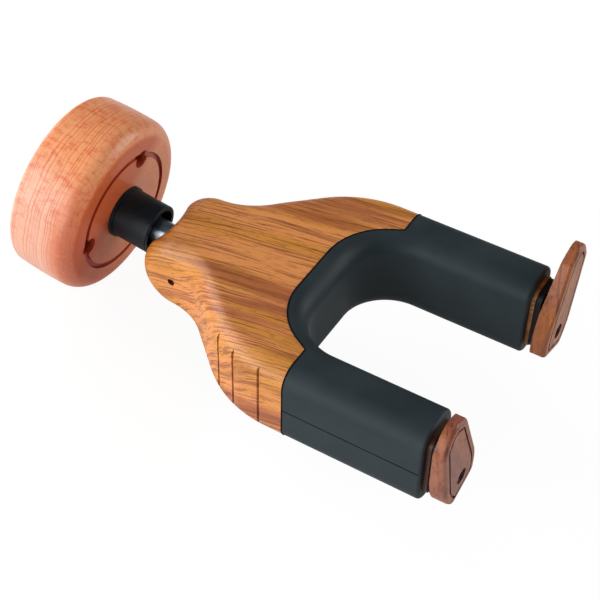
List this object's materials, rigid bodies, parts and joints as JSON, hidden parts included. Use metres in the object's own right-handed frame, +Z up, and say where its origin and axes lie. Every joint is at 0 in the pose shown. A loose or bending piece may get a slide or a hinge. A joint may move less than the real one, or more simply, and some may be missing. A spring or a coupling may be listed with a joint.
{
  "type": "wall guitar hanger",
  "caption": "Wall hanger for a guitar: a round wooden base carries a swivelling padded cradle whose gates swing shut under the instrument's weight.",
  "frame": {"origin": "centre of the round base's back face, on the wall", "axes": "+Z up, +X to the hanger's right, -Y out of the wall along the spindle"},
  "size_m": [0.1056, 0.1826, 0.0775],
  "materials": {
    "lacquered_puck_wood": "gloss lacquer",
    "oiled_wood": "satin oil",
    "gate_wood": "satin lacquer",
    "black_rubber": "satin",
    "black_collar": "satin",
    "black_washer": "matt",
    "cover_plastic": "fine texture",
    "bush_plastic": "natural nylon",
    "polished_steel": "polished",
    "zinc_steel": "zinc plated",
    "plate_steel": "sheared and plated",
    "spring_steel": "oiled",
    "bronze": "sintered",
    "black_screw": "black oxide"
  },
  "bodies": {
    "wall_mount": {"wall_puck": "lacquered_puck_wood", "spindle": "polished_steel", "spindle_nut": "zinc_steel", "spindle_washer": "zinc_steel", "collar": "black_collar", "thrust_washers": "bronze", "retaining_clip": "spring_steel"},
    "swivel": {"pivot_clevis": "zinc_steel", "actuator_plate": "plate_steel", "actuator_screws": "zinc_steel", "return_spring": "spring_steel"},
    "cradle": {"wishbone_body": "oiled_wood", "rubber_sleeve": "black_rubber", "bottom_cover": "cover_plastic", "cover_screws": "black_screw", "pivot_pin": "zinc_steel", "left_rear_bush": "bush_plastic", "left_front_bush": "bush_plastic", "right_rear_bush": "bush_plastic", "right_front_bush": "bush_plastic", "left_gate_washer": "black_washer", "right_gate_washer": "black_washer"},
    "left_gate_arm": {"left_rod": "polished_steel", "left_crank": "plate_steel", "left_roll_pin": "spring_steel", "left_gate": "gate_wood", "left_gate_screw": "black_screw"},
    "right_gate_arm": {"right_rod": "polished_steel", "right_crank": "plate_steel", "right_roll_pin": "spring_steel", "right_gate": "gate_wood", "right_gate_screw": "black_screw"}
  },
  "joints": [
    {"name": "cradle_swivel", "type": "hinge", "parent": "wall_mount", "child": "swivel", "pos_m": [0, -0.059, 0], "axis": [0, 1, 0], "range_deg": [-25, 25]},
    {"name": "cradle_drop", "type": "hinge", "parent": "swivel", "child": "cradle", "pos_m": [0, -0.059, 0], "axis": [1, 0, 0], "range_deg": [0, 7], "stiffness_Nm_per_rad": 0.5, "springref_deg": -28.65, "deforming": ["return_spring"]},
    {"name": "left_gate_turn", "type": "hinge", "parent": "cradle", "child": "left_gate_arm", "pos_m": [-0.037, -0.14388, 0.00663], "axis": [0, 0.991, -0.134], "range_deg": [0, 105]},
    {"name": "right_gate_turn", "type": "hinge", "parent": "cradle", "child": "right_gate_arm", "pos_m": [0.037, -0.14388, 0.00663], "axis": [0, -0.991, 0.134], "range_deg": [0, 105]}
  ],
  "couplings": [
    {"joint": "left_gate_turn", "follows": "cradle_drop", "ratio": 15},
    {"joint": "right_gate_turn", "follows": "cradle_drop", "ratio": 15}
  ]
}
